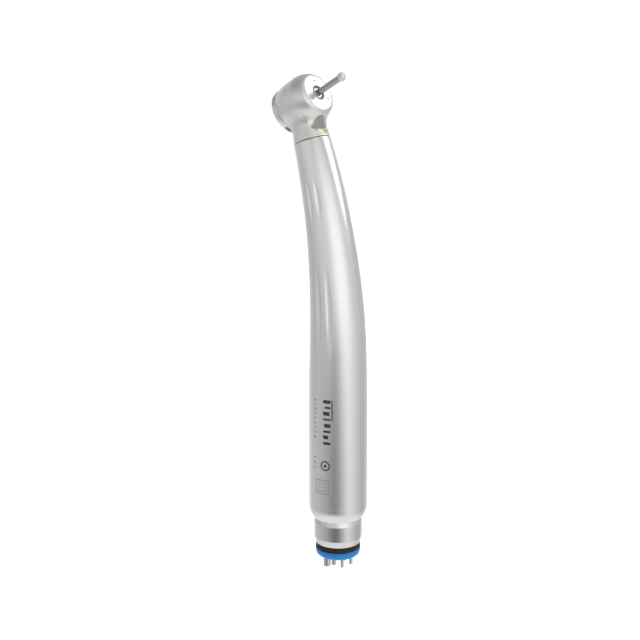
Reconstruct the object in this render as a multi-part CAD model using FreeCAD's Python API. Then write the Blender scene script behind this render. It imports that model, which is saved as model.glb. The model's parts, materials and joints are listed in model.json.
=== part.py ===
"""Dental high speed handpiece with an LED head, an air generator and a coupling of four pipes and a pin.

Frame: millimetres, +Z up along the straight rear part of the handle. The origin is on that axis at the
rear face of the coupling. The handle bends towards -X, and the bur points to +X.
"""
import FreeCAD, Part
import math
import os

Vec = FreeCAD.Vector

# ---- Handle centre line: a straight run, then one arc that leans the neck back ----
straight_length = 55.9
bend_radius = 168.0
bend_angle = 20.0
seam_at = 110.8          # joint of handle and head, measured along the centre line
head_centre_at = 121.1   # bur axis crosses the neck axis here

# ---- Handle shell ----
shell_lip = 11.0
shell_body = 16.0        # full section from here on
shell_radius = 7.8
shell_taper = 0.053      # radius lost per millimetre in the tapered run
taper_from = 54.0
taper_ease = 8.0
shell_sections = 11
shell_wall = 0.9
lip_radius = 6.75
thread_radius = 6.2
thread_top = 20.0
spigot_length = 6.0
spigot_radius = 3.9
seam_gap = 0.14
flute_angles = (-90.0, -66.0)
flute_sets = ((68.0, 24.4, 0.85), (95.3, 11.8, 0.7))   # centre, length, half width
flute_depth = 0.32

# ---- Head: its own axis is the bur axis, with zero at the front face ----
head_tilt = 24.8
face_ahead = 6.3
head_back = -10.0
cap_room = 6.3          # clear radius behind the barrel for the back cap
face_radius = 4.95
barrel_radius = 6.44
face_opening = 2.0
face_edge = 0.35
neck_blend = 1.8
seat_radius = 3.65
chamber_radius = 4.3
cap_thread_radius = 4.75
spray_circle = 3.28
spray_radius = 0.24
cap_rim_back = -11.8
button_back = -12.05
button_radius = 3.8
button_flange = 4.3
notch_count = 4
notch_angle = -28.0
notch_size = (1.2, 3.0, 1.35)
notch_bottom = 5.35       # distance of its floor from the bur axis

# ---- Turbine cartridge ----
shaft_radius = 1.5
chuck_radius = 1.05
bur_radius = 0.8
bur_fit = 0.02
race_inner = 2.0
race_outer = 2.6
bearing_radius = 3.175
ball_radius = 0.5
pitch_radius = 2.3
groove_radius = 0.54
ball_count = 7
bearing_width = 2.3
front_bearing_at = -3.3
rear_bearing_at = -9.35
impeller_radius = 3.9
blade_count = 10
bur_out = 9.25
bur_length = 19.0
bur_tip_radius = 1.1
bur_tip_length = 1.5

# ---- LED window on the bur side of the neck ----
window_deep = (3.1, 113.4)
window_low = (4.6, 111.5)
window_high = (4.95, 115.55)
lens_radius = 1.15

# ---- Rear coupling ----
blue_radius = 6.07
blue_height = 2.15
band_top = 3.65
nose_radius = 4.4
core_radius = 5.2
core_top = 18.0
collar_radius = 6.5
pipe_tip = -3.2
exhaust = (-1.39, -2.86, 1.0, 0.78)      # x, y, outer radius, inner radius
drive = (-0.35, -1.26, 0.65, 0.45)
water = (2.49, -1.13, 0.45, 0.28)
chip = (2.77, 2.15, 0.5, 0.32)
locator = (0.28, 2.53, 0.4)

pipe_step = 0.1          # the pipes are this much larger in radius inside the core

# ---- Springs ----
button_spring_ends = (-10.72, -9.78)
button_spring_radius = 3.95
button_spring_strip = (0.44, 0.12)      # width and thickness of the flat wire
button_spring_turns = 2.5
valve_spring_wire = 0.09
valve_spring_radius = 0.6

# ---- Tubes and wires in the handle, as offsets from the centre line ----
neck_end = seam_at + 1.8
drive_offset = (-1.3, 0.0)
water_offset = (0.3, -1.95)
chip_offset = (0.3, 1.95)
side_run = (3.9, 4.2)    # where the side tubes pass the generator
wire_offset = 1.6
wire_radius = 0.22

# ---- Generator ----
gen_bottom = 26.0
gen_top = 45.0
gen_radius = 5.0
gen_shaft = 0.75
gen_fit = 0.03


def centre(s):
    """Placement on the centre line at length s, with local Z along the line and local X to the bur side."""
    lean = min(max(s - straight_length, 0) / bend_radius, math.radians(bend_angle))
    past = max(s - straight_length, 0) - lean * bend_radius
    x = -bend_radius * (1 - math.cos(lean)) - past * math.sin(lean)
    z = min(s, straight_length) + bend_radius * math.sin(lean) + past * math.cos(lean)
    return FreeCAD.Placement(Vec(x, 0, z), FreeCAD.Rotation(Vec(0, 1, 0), -math.degrees(lean)))


def head_frame():
    """Placement whose local Z is the bur axis and whose local X points down to the neck."""
    rotation = FreeCAD.Rotation(Vec(0, 1, 0), 90 - head_tilt)
    ahead = rotation.multVec(Vec(0, 0, face_ahead))
    return FreeCAD.Placement(centre(head_centre_at).Base + ahead, rotation)


def placed(shape, placement):
    copy = shape.copy()
    copy.Placement = placement.multiply(copy.Placement)
    return copy


def in_head(shape):
    return placed(shape, head_frame())


def bend_to(mid, end):
    """An outline step that is an arc through mid to end."""
    return ("arc", mid, end)


def turned(outline):
    """Solid of revolution about Z of a closed outline of (radius, height) steps."""
    edges, here = [], outline[0]
    for step in list(outline[1:]) + [outline[0]]:
        start = Vec(here[0], 0, here[1])
        if step[0] == "arc":
            mid, end = step[1], step[2]
            edges.append(Part.Arc(start, Vec(mid[0], 0, mid[1]), Vec(end[0], 0, end[1])).toShape())
            here = end
        elif step != here:
            edges.append(Part.LineSegment(start, Vec(step[0], 0, step[1])).toShape())
            here = step
    return Part.Face(Part.Wire(edges)).revolve(Vec(0, 0, 0), Vec(0, 0, 1), 360)


def disc(radius, low, high, x=0.0, y=0.0):
    return Part.makeCylinder(radius, high - low, Vec(x, y, low))


def ring(outer, inner, low, high, x=0.0, y=0.0):
    return disc(outer, low, high, x, y).cut(disc(inner, low, high, x, y))


def cord_ring(inner, outer, low, high):
    """A moulded seal ring with rounded shoulders."""
    corner = min(outer - inner, high - low) * 0.3
    solid = ring(outer, inner, low, high)
    rims = [edge for edge in solid.Edges if edge.Curve.TypeId == "Part::GeomCircle"]
    return solid.makeFillet(corner, rims)


def lofted(stations):
    """Solid through circles on the centre line, each with its shift towards the bur side."""
    wires = []
    for s, radius, shift in stations:
        circle = Part.makeCircle(radius, Vec(shift, 0, 0), Vec(0, 0, 1))
        wires.append(placed(Part.Wire([circle]), centre(s)))
    return Part.makeLoft(wires, True, False)


def handle_radius(s):
    """Outer radius of the handle: straight, then an eased change into an even taper."""
    return shell_radius - shell_taper * taper_ease * math.log1p(math.exp((s - taper_from) / taper_ease))


def handle_sections(low, high, shrink=0.0):
    step = (high - low) / (shell_sections - 1)
    places = [low + step * index for index in range(shell_sections)]
    return [(s, handle_radius(s) - shrink, 0.0) for s in places]


def rod_between(start, end, radius):
    axis = end - start
    return Part.makeCylinder(radius, axis.Length, start, axis)


def fused(shapes):
    whole = shapes[0].multiFuse(shapes[1:]).removeSplitter()
    return whole.Solids[0] if len(whole.Solids) == 1 else whole


def around(shape, count, start=0.0, axis=Vec(0, 0, 1)):
    """Copies of a shape turned evenly about an axis through the local origin."""
    copies = []
    for index in range(count):
        turn = FreeCAD.Rotation(axis, start + 360.0 * index / count)
        copies.append(placed(shape, FreeCAD.Placement(Vec(0, 0, 0), turn)))
    return copies


def route(points, corner, offset=None, last=None):
    """Wire through points with rounded corners, then along the bend at a fixed offset."""
    edges, here = [], points[0]
    for before, at, after in zip(points, points[1:], points[2:]):
        inward, outward = (before - at).normalize(), (after - at).normalize()
        half = inward.getAngle(outward) / 2
        trim = corner / math.tan(half)
        start, end = at + inward * trim, at + outward * trim
        toward = (inward + outward).normalize()
        mid = at + toward * (corner / math.sin(half) - corner)
        edges.append(Part.LineSegment(here, start).toShape())
        edges.append(Part.Arc(start, mid, end).toShape())
        here = end
    edges.append(Part.LineSegment(here, points[-1]).toShape())
    if offset is not None:
        stops = [centre(s).multVec(Vec(offset[0], offset[1], 0))
                 for s in (straight_length, (straight_length + last) / 2, last)]
        edges.append(Part.Arc(stops[0], stops[1], stops[2]).toShape())
    return Part.Wire(edges)


def swept(path, radius):
    start = path.OrderedEdges[0]
    circle = Part.makeCircle(radius, start.valueAt(start.FirstParameter),
                             start.tangentAt(start.FirstParameter))
    return path.makePipeShell([Part.Wire([circle])], True, True)


def coil(low, high, turns, radius, wire=None, strip=None):
    """Helical spring about Z, of round wire of this radius or of a flat strip of this width and thickness."""
    path = Part.makeHelix((high - low) / turns, high - low, radius)
    if wire:
        edge = path.Edges[0]
        start, along = edge.valueAt(edge.FirstParameter), edge.tangentAt(edge.FirstParameter)
        section = Part.Wire([Part.makeCircle(wire, start, along)])
    else:
        wide, thick = strip[0] / 2, strip[1] / 2
        corners = [Vec(radius - wide, 0, -thick), Vec(radius + wide, 0, -thick),
                   Vec(radius + wide, 0, thick), Vec(radius - wide, 0, thick)]
        section = Part.makePolygon(corners + corners[:1])
    solid = Part.Wire(path.Edges).makePipeShell([section], True, True)
    return placed(solid, FreeCAD.Placement(Vec(0, 0, low), FreeCAD.Rotation()))


# ---------------------------------------------------------------- handle

def handle_cavity():
    """Hollow space inside the handle shell."""
    bore = lofted(handle_sections(thread_top, seam_at - spigot_length, shell_wall))
    return bore.fuse(disc(thread_radius, shell_lip, thread_top))


def flute(at, length, half_width, angle):
    """Slender spindle that cuts one grip flute, which fades out at both ends."""
    girth = (half_width ** 2 + flute_depth ** 2) / (2 * flute_depth)
    half = length / 2 * math.sqrt(girth / flute_depth)
    taper = math.degrees(math.atan((handle_radius(at - 1) - handle_radius(at + 1)) / 2))
    spindle = turned([(0, -half), bend_to((girth, 0), (0, half))])
    lean = FreeCAD.Placement(Vec(handle_radius(at) + girth - flute_depth, 0, 0),
                             FreeCAD.Rotation(Vec(0, 1, 0), -taper))
    turn = FreeCAD.Placement(Vec(0, 0, 0), FreeCAD.Rotation(Vec(0, 0, 1), angle))
    return placed(placed(placed(spindle, lean), turn), centre(at))


def handle_shell():
    full = handle_radius(shell_body)
    tail = turned([(0, shell_lip), (lip_radius, shell_lip), bend_to((full - 0.25, 12.7), (full, 15.0)),
                   (full, shell_body), (0, shell_body)])
    body = tail.fuse(lofted(handle_sections(shell_body, seam_at)))
    body = body.cut(handle_cavity())
    socket = disc(spigot_radius, -spigot_length, 1.0)
    body = body.cut(placed(socket, centre(seam_at)))
    flutes = [flute(at, length, half_width, side) for at, length, half_width in flute_sets
              for angle in flute_angles for side in (angle, -angle)]
    return body.cut(flutes)


def neck_seal():
    thin = ring(handle_radius(seam_at) - 0.22, spigot_radius, 0, seam_gap * 0.9)
    return placed(thin, centre(seam_at))


# ---------------------------------------------------------------- head

def neck_outline():
    start = seam_at + seam_gap
    return [(start, 4.76, 0.0), (113.2, 4.45, 0.02), (115.2, 4.12, 0.2), (118.5, 3.75, 0.5)]


def barrel():
    body = turned([(0, head_back), (5.98, head_back), bend_to((6.32, -8.2), (barrel_radius, -5.6)),
                   (barrel_radius, -4.5), bend_to((5.95, -1.62), (face_radius, 0)), (0, 0)])
    seam_on_top = FreeCAD.Placement(Vec(0, 0, 0), FreeCAD.Rotation(Vec(0, 0, 1), 180))
    return in_head(placed(body, seam_on_top))


def led_frame():
    """Placement at the middle of the window floor, with local Z out of the floor."""
    x, s = (window_deep[0] + window_low[0]) / 2, (window_deep[1] + window_low[1]) / 2
    run, drop = window_low[0] - window_deep[0], window_deep[1] - window_low[1]
    lean = math.degrees(math.atan2(drop, run))
    local = FreeCAD.Placement(Vec(x, 0, s - seam_at), FreeCAD.Rotation(Vec(0, 1, 0), lean))
    return centre(seam_at).multiply(local)


def window_cut():
    """V shaped notch: a sloped floor for the lens under a steep upper wall."""
    reach, wide = 3.0, 6.0
    deep = Vec(window_deep[0], -wide, window_deep[1] - seam_at)
    low = Vec(window_low[0], -wide, window_low[1] - seam_at)
    high = Vec(window_high[0], -wide, window_high[1] - seam_at)
    outer = deep + (low - deep) * reach
    corners = [deep, outer, Vec(outer.x, -wide, high.z), high, deep]
    return placed(Part.Face(Part.makePolygon(corners)).extrude(Vec(0, 2 * wide, 0)), centre(seam_at))


def head_housing():
    outer = barrel().fuse(lofted(neck_outline()))
    outer = rounded_neck(outer)
    outer = outer.cut(in_head(disc(cap_room, cap_rim_back - 2, head_back)))
    spigot = placed(disc(spigot_radius, -spigot_length, seam_gap + 0.4), centre(seam_at))
    body = outer.fuse(spigot).removeSplitter()
    hollow = turned([(0, head_back - 1), (cap_thread_radius, head_back - 1), (cap_thread_radius, -7.0),
                     (chamber_radius, -7.0), (chamber_radius, front_bearing_at - 0.1),
                     (seat_radius, front_bearing_at - 0.1), (seat_radius, -0.88), (face_opening, -0.88),
                     (face_opening, -0.25), (face_opening + 0.25, 0.1), (0, 0.1)])
    body = body.cut(in_head(hollow))
    hole = disc(spray_radius, -0.7, 0.5, -spray_circle, 0)
    for one in around(hole, 3):
        body = body.cut(in_head(one))
    body = body.cut(window_cut())
    body = body.cut(placed(disc(lens_radius, -2.4, 0.5), led_frame()))
    seat = centre(seam_at)
    body = body.cut(placed(disc(3.2, -spigot_length - 1, 0.2), seat))
    body = body.cut(placed(disc(2.9, 0, 2.2, -0.5, 0), seat))
    for begin, end, radius in ((Vec(-1.4, 0.3, 2.0), Vec(0, 2.9, 7.2), 0.55),
                               (Vec(-1.0, -1.2, 2.0), Vec(0, -2.6, 7.2), 0.9)):
        body = body.cut(placed(rod_between(begin, end, radius), seat))
    return body


def rounded_neck(body):
    """Blend the crease where the neck runs into the barrel, and soften the rim of the face."""
    seat, head = centre(seam_at).inverse(), head_frame().inverse()
    crease = []
    for edge in body.Edges:
        middle = edge.valueAt((edge.FirstParameter + edge.LastParameter) / 2)
        neck, local = seat.multVec(middle), head.multVec(middle)
        on_neck = 2.5 < math.hypot(neck.x, neck.y) < 5.0 and 1.5 < neck.z < 9.0
        two_sided = len(body.ancestorsOfType(edge, Part.Face)) == 2
        if on_neck and two_sided and math.hypot(local.x, local.y) > 5.5:
            crease.append(edge)
    body = body.makeFillet(neck_blend, crease)
    rim = [edge for edge in body.Edges if edge.Curve.TypeId == "Part::GeomCircle"
           and abs(edge.Curve.Radius - face_radius) < 0.01]
    return body.makeFillet(face_edge, rim)


def back_cap():
    body = turned([(seat_radius, -7.0), (cap_thread_radius, -7.0), (cap_thread_radius, head_back),
                   (5.98, head_back), bend_to((6.12, -10.75), (6.0, -11.35)),
                   bend_to((5.85, -11.66), (5.5, cap_rim_back)),
                   (button_radius + 0.06, cap_rim_back), (button_radius + 0.06, -10.95),
                   (button_flange + 0.06, -10.95), (button_flange + 0.06, -9.6), (seat_radius, -9.6)])
    deep, wide, tall = notch_size
    notch = Part.makeBox(deep, wide, tall, Vec(notch_bottom, -wide / 2, head_back - tall))
    for one in around(notch, notch_count, notch_angle):
        body = body.cut(one)
    return in_head(body)


def push_button():
    body = turned([(0, button_back), bend_to((2.4, -11.91), (button_radius, -11.6)),
                   (button_radius, -10.93), (button_flange, -10.93), (button_flange, -10.75),
                   (3.5, -10.75), (3.5, -10.9), (0, -10.9)])
    return in_head(body)


def button_spring():
    low, high = button_spring_ends
    half = button_spring_strip[1] / 2
    return in_head(coil(low + half, high - half, button_spring_turns, button_spring_radius,
                        strip=button_spring_strip))


def button_retaining_ring():
    whole = ring(button_flange + 0.05, 3.0, -9.75, -9.6)
    gap = Part.makeBox(2.4, 0.8, 1.0, Vec(2.8, -0.4, -10.2))
    return in_head(whole.cut(gap))


def spring_washer():
    return in_head(turned([(2.75, -9.36), (3.5, -9.52), (3.5, -9.6), (2.75, -9.44)]))


# ---------------------------------------------------------------- turbine

def race_groove(low):
    return Part.makeTorus(pitch_radius, groove_radius, Vec(0, 0, low + bearing_width / 2), Vec(0, 0, 1))


def inner_race(low):
    return in_head(ring(race_inner, shaft_radius, low, low + bearing_width).cut(race_groove(low)))


def outer_race(low):
    return in_head(ring(bearing_radius, race_outer, low, low + bearing_width).cut(race_groove(low)))


def balls(low):
    ball = Part.makeSphere(ball_radius, Vec(pitch_radius, 0, low + bearing_width / 2))
    return in_head(Part.makeCompound(around(ball, ball_count)))


def cage(low):
    middle = low + bearing_width / 2
    body = ring(race_outer - 0.06, race_inner + 0.06, middle - 0.75, middle + 0.75)
    pocket = Part.makeSphere(ball_radius + 0.05, Vec(pitch_radius, 0, middle))
    for one in around(pocket, ball_count):
        body = body.cut(one)
    return in_head(body)


def rotor_spindle():
    top = front_bearing_at - 0.05
    body = turned([(chuck_radius, -9.75), (shaft_radius, -9.75), (shaft_radius, top - 0.4), (1.85, top - 0.4),
                   (1.85, front_bearing_at), (shaft_radius, front_bearing_at), (shaft_radius, -0.55),
                   (shaft_radius - 0.15, -0.35), (chuck_radius, -0.35)])
    return in_head(body)


def impeller():
    low, high = -6.75, front_bearing_at - 0.45
    hub = disc(2.1, low, high).fuse(disc(1.85, rear_bearing_at + bearing_width, low))
    blade = Part.makeBox(2.2, 0.36, high - low, Vec(1.8, -0.18, low))
    blades = [one.common(disc(impeller_radius, low, high)) for one in around(blade, blade_count)]
    shroud = disc(3.3, (low + high) / 2 - 0.15, (low + high) / 2 + 0.15)
    body = fused([hub, shroud] + blades)
    return in_head(body.cut(disc(shaft_radius, -12, 0)))


def collet_chuck():
    low, high = -8.7, -0.2
    body = turned([(bur_radius + bur_fit, low), (chuck_radius, low), (chuck_radius, -0.35),
                   (chuck_radius + 0.2, -0.35), (chuck_radius + 0.2, high), (bur_radius + bur_fit + 0.1, high),
                   (bur_radius + bur_fit, high - 0.1)])
    slot = Part.makeBox(2.0, 0.16, 5.0, Vec(0, -0.08, high - 4.8))
    for one in around(slot, 3, 20.0):
        body = body.cut(one)
    return in_head(body)


def chuck_pusher():
    body = turned([(0, -10.73), (1.3, -10.73), (1.3, -10.38), (1.0, -10.38), (1.0, -9.3), (0.85, -9.3),
                   (0.85, -10.38), (0, -10.38)])
    return in_head(body)


def bur():
    low = bur_out - bur_length
    neck = bur_out - bur_tip_length
    shank = turned([(0, low), (bur_radius - 0.15, low), (bur_radius, low + 0.15), (bur_radius, neck - 0.5),
                    (0.62, neck), (bur_tip_radius - 0.05, neck + 0.25), (bur_tip_radius, bur_out - 0.45),
                    bend_to((bur_tip_radius - 0.15, bur_out - 0.12), (bur_tip_radius - 0.45, bur_out)),
                    (0, bur_out)])
    return in_head(shank)


def bearing_seal(low, high):
    return in_head(cord_ring(bearing_radius, seat_radius, low, high))


def front_dust_cover():
    return in_head(ring(seat_radius - 0.02, 2.05, -1.0, -0.88))


# ---------------------------------------------------------------- light

def led_lens():
    body = disc(lens_radius, -1.3, 0)
    rim = [edge for edge in body.Edges if edge.BoundBox.ZMax > -0.01 and edge.BoundBox.ZMin > -0.01]
    return placed(body.makeChamfer(0.12, rim), led_frame())


def led_chip():
    return placed(Part.makeBox(1.3, 1.3, 0.35, Vec(-0.65, -0.65, -1.65)), led_frame())


def led_holder():
    cup = disc(lens_radius, -2.4, -1.3).cut(Part.makeBox(1.3, 1.3, 0.35, Vec(-0.65, -0.65, -1.65)))
    stub = placed(disc(0.7, -1.2, 0.8, 1.6, 0), centre(seam_at))
    joined = placed(cup, led_frame()).fuse(stub)
    chip = placed(Part.makeBox(1.3, 1.3, 0.35, Vec(-0.65, -0.65, -1.65)), led_frame())
    lens = placed(disc(lens_radius, -1.3, 0.5), led_frame())
    return joined.cut(chip).cut(lens).removeSplitter()


def led_wires():
    strands = []
    for side in (-0.35, 0.35):
        points = [Vec(3.08, side, 50.0), Vec(3.08, side, 53.0), Vec(wire_offset, side, straight_length - 0.6),
                  Vec(wire_offset, side, straight_length)]
        strands.append(swept(route(points, 0.6, (wire_offset, side), seam_at - 1.25), wire_radius))
    return Part.makeCompound(strands)


# ---------------------------------------------------------------- tubes in the handle

def side_route(pipe, offset):
    """From a core port out to the wall beside the generator, then in to the neck."""
    sign = math.copysign(1, pipe[1])
    out = Vec(side_run[0], sign * side_run[1], 0)
    start = Vec(pipe[0], pipe[1], 0)
    up = Vec(0, 0, 1)
    points = [start + up * (core_top - 0.6), start + up * 19.6, out + up * 24.4, out + up * 46.8,
              Vec(offset[0], offset[1], straight_length - 2.0), Vec(offset[0], offset[1], straight_length)]
    return route(points, 2.0, offset, neck_end)


def drive_route():
    low = Vec(drive_offset[0], drive_offset[1], gen_top - 1.0)
    high = Vec(drive_offset[0], drive_offset[1], straight_length)
    return route([low, high], 2.0, drive_offset, neck_end)


def hollow_tube(path, outer, inner):
    return swept(path, outer).cut(swept(path, inner))


def tube_bracket():
    at, thick = 64.0, 2.4
    body = placed(disc(9.0, 0, thick), centre(at)).common(handle_cavity())
    for offset, radius in ((drive_offset, 1.0), (water_offset, 0.6), (chip_offset, 0.6)):
        body = body.cut(placed(disc(radius, -1, thick + 1, offset[0], offset[1]), centre(at)))
    body = body.cut(placed(Part.makeBox(1.2, 1.6, thick + 2, Vec(1.2, -0.8, -1)), centre(at)))
    vent = disc(1.1, -1, thick + 1, -4.4, 0)
    for angle in (-50, 0, 50, 130, 180, 230):
        turn = FreeCAD.Placement(Vec(0, 0, 0), FreeCAD.Rotation(Vec(0, 0, 1), angle))
        body = body.cut(placed(placed(vent, turn), centre(at)))
    return body


def rectifier_board():
    return Part.makeBox(0.8, 5.8, 8.0, Vec(3.3, -2.9, 47.0))


def board_components():
    places = ((4.1, -2.0, 48.0, 0.7, 1.8, 2.4), (4.1, 0.5, 48.0, 0.9, 1.6, 1.6),
              (4.1, -1.2, 51.6, 0.6, 2.4, 2.4))
    chips = [Part.makeBox(thick, wide, tall, Vec(x, y, z)) for x, y, z, thick, wide, tall in places]
    return Part.makeCompound(chips)


# ---------------------------------------------------------------- generator

def side_tubes():
    return [swept(side_route(water, water_offset), 0.6), swept(side_route(chip, chip_offset), 0.6)]


def fitted_flange(low, high):
    """Disc that fills the handle bore, with room for the side tubes and the exhaust air."""
    body = disc(9.0, low, high).common(handle_cavity())
    for tube in side_tubes():
        body = body.cut(tube)
    vent = disc(0.7, low - 1, high + 1, -5.9, 0)
    for angle in (-60, -30, 0, 30, 60):
        turn = FreeCAD.Placement(Vec(0, 0, 0), FreeCAD.Rotation(Vec(0, 0, 1), angle))
        body = body.cut(placed(vent, turn))
    return body


def generator_housing():
    body = fused([disc(gen_radius, gen_bottom, 42.5), fitted_flange(gen_bottom, gen_bottom + 1.4)])
    body = body.cut(disc(4.55, gen_bottom + 0.8, 30.0)).cut(disc(4.55, 31.6, 43.0))
    body = body.cut(disc(2.4, 30.0, 31.6)).cut(disc(drive[2] + pipe_step, 20.0, 28.0, drive[0], drive[1]))
    for one in around(disc(0.5, 29.0, 32.0, 3.4, 0), 6):
        body = body.cut(one)
    return body


def generator_end_plate():
    body = fused([fitted_flange(42.5, gen_top), disc(4.5, 40.8, 42.5)])
    body = body.cut(disc(2.4, 41.0, 43.8)).cut(disc(gen_shaft + 0.3, 40.0, 42.0))
    return body.cut(disc(1.0, 43.0, 46.0, drive_offset[0], drive_offset[1]))


def generator_coil():
    body = ring(4.55, 3.1, 32.0, 40.4)
    for one in around(Part.makeBox(0.7, 0.5, 9.4, Vec(3.0, -0.25, 31.5)), 6):
        body = body.cut(one)
    return body


def generator_magnet():
    return ring(2.7, gen_shaft, 32.4, 40.0)


def generator_shaft():
    return disc(gen_shaft, 27.3, 42.9)


def generator_impeller():
    low, high = 27.4, 29.6
    blade = Part.makeBox(3.0, 0.35, high - low, Vec(1.2, -0.18, low))
    blades = [one.common(disc(4.2, low, high)) for one in around(blade, 12)]
    body = fused([disc(1.5, low, high), disc(3.9, high - 0.3, high)] + blades)
    return body.cut(disc(gen_shaft, low - 1, high + 1))


def generator_bearing(low, high):
    return ring(2.4, gen_shaft + gen_fit, low, high)


# ---------------------------------------------------------------- rear coupling

def rear_collar():
    body = turned([(core_radius, band_top), (6.05, band_top), (collar_radius, 5.5), (collar_radius, 9.5),
                   (thread_radius, shell_lip), (thread_radius, 19.0), (core_radius, 19.0)])
    return body.cut(ring(thread_radius + 0.2, 5.85, 12.6, 13.4))


def collar_o_ring():
    return cord_ring(5.85, thread_radius, 12.6, 13.4)


def rear_core():
    body = disc(nose_radius, 0, band_top).fuse(disc(core_radius, band_top, core_top))
    for x, y, radius in (exhaust[:3], drive[:3], water[:3], chip[:3]):
        body = body.cut(disc(radius + pipe_step, -1, core_top + 1, x, y))
    body = body.cut(disc(locator[2] + pipe_step, -1, 6.0, locator[0], locator[1]))
    body = body.cut(disc(0.95, 10.0, core_top, water[0], water[1]))
    body = body.cut(disc(0.6, core_top - 0.6, core_top, chip[0], chip[1]))
    return body.removeSplitter()


def sealing_ring():
    body = ring(6.0, nose_radius, blue_height, band_top)
    rims = [edge for edge in body.Edges if edge.BoundBox.XMax > 5.9 and edge.BoundBox.ZLength < 0.01]
    return body.makeFillet(0.3, rims)


def blue_ring():
    return turned([(nose_radius, 0), (5.3, 0), bend_to((5.86, 0.5), (blue_radius, 1.35)),
                   (blue_radius, blue_height), (nose_radius, blue_height)])


def stub(pipe, top):
    """Pipe that stands out below the core and is thicker where the core holds it."""
    x, y, outer, inner = pipe
    body = disc(outer, pipe_tip, 0, x, y).fuse(disc(outer + pipe_step, 0, top, x, y))
    return body.cut(disc(inner, pipe_tip - 1, top + 1, x, y))


def locating_pin():
    x, y, radius = locator
    body = turned([(0, pipe_tip), (radius * 0.6, pipe_tip), (radius, pipe_tip + 0.3), (radius, 0),
                   (radius + pipe_step, 0), (radius + pipe_step, 6.0), (0, 6.0)])
    return placed(body, FreeCAD.Placement(Vec(x, y, 0), FreeCAD.Rotation()))


def check_valve_seat():
    return ring(0.95, 0.35, 10.8, 12.0, water[0], water[1])


def check_valve_ball():
    return Part.makeSphere(0.6, Vec(water[0], water[1], 12.52))


def check_valve_spring():
    body = coil(13.25, 16.85, 6.0, valve_spring_radius, wire=valve_spring_wire)
    return placed(body, FreeCAD.Placement(Vec(water[0], water[1], 0), FreeCAD.Rotation()))


def check_valve_cap():
    return ring(0.95, 0.6, 17.0, core_top, water[0], water[1])


nodes = {
    "head_housing": head_housing,
    "back_cap": back_cap,
    "push_button": push_button,
    "button_spring": button_spring,
    "button_retaining_ring": button_retaining_ring,
    "spring_washer": spring_washer,
    "rotor_spindle": rotor_spindle,
    "impeller": impeller,
    "collet_chuck": collet_chuck,
    "chuck_pusher": chuck_pusher,
    "front_bearing_inner_race": lambda: inner_race(front_bearing_at),
    "front_bearing_outer_race": lambda: outer_race(front_bearing_at),
    "front_bearing_balls": lambda: balls(front_bearing_at),
    "front_bearing_cage": lambda: cage(front_bearing_at),
    "rear_bearing_inner_race": lambda: inner_race(rear_bearing_at),
    "rear_bearing_outer_race": lambda: outer_race(rear_bearing_at),
    "rear_bearing_balls": lambda: balls(rear_bearing_at),
    "rear_bearing_cage": lambda: cage(rear_bearing_at),
    "front_o_ring": lambda: bearing_seal(-2.55, -1.75),
    "rear_o_ring": lambda: bearing_seal(-8.6, -7.8),
    "front_dust_cover": front_dust_cover,
    "bur": bur,
    "led_lens": led_lens,
    "led_chip": led_chip,
    "led_holder": led_holder,
    "led_wires": led_wires,
    "handle_shell": handle_shell,
    "neck_seal": neck_seal,
    "drive_air_tube": lambda: hollow_tube(drive_route(), 1.0, 0.8),
    "water_tube": lambda: hollow_tube(side_route(water, water_offset), 0.6, 0.42),
    "chip_air_tube": lambda: hollow_tube(side_route(chip, chip_offset), 0.6, 0.42),
    "tube_bracket": tube_bracket,
    "rectifier_board": rectifier_board,
    "board_components": board_components,
    "generator_housing": generator_housing,
    "generator_end_plate": generator_end_plate,
    "generator_coil": generator_coil,
    "generator_magnet": generator_magnet,
    "generator_shaft": generator_shaft,
    "generator_impeller": generator_impeller,
    "generator_lower_bearing": lambda: generator_bearing(30.0, 31.6),
    "generator_upper_bearing": lambda: generator_bearing(42.0, 43.6),
    "rear_collar": rear_collar,
    "collar_o_ring": collar_o_ring,
    "rear_core": rear_core,
    "sealing_ring": sealing_ring,
    "blue_ring": blue_ring,
    "exhaust_pipe": lambda: stub(exhaust, core_top + 1.0),
    "drive_air_pipe": lambda: stub(drive, gen_bottom + 0.8),
    "water_pipe": lambda: stub(water, 10.0),
    "chip_air_pipe": lambda: stub(chip, core_top - 0.6),
    "locating_pin": locating_pin,
    "check_valve_seat": check_valve_seat,
    "check_valve_ball": check_valve_ball,
    "check_valve_spring": check_valve_spring,
    "check_valve_cap": check_valve_cap,
}


def main():
    os.makedirs("parts", exist_ok=True)
    for name, build in nodes.items():
        shape = build()
        if not shape.isValid() or shape.Volume <= 0:
            print("check", name, shape.isValid(), shape.Volume)
        shape.exportStep("parts/" + name + ".step")
        print(name, len(shape.Solids), round(shape.Volume, 3))


main()
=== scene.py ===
import json
import math

import bmesh
import bpy
import numpy as np
from mathutils import Matrix, Vector


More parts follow.
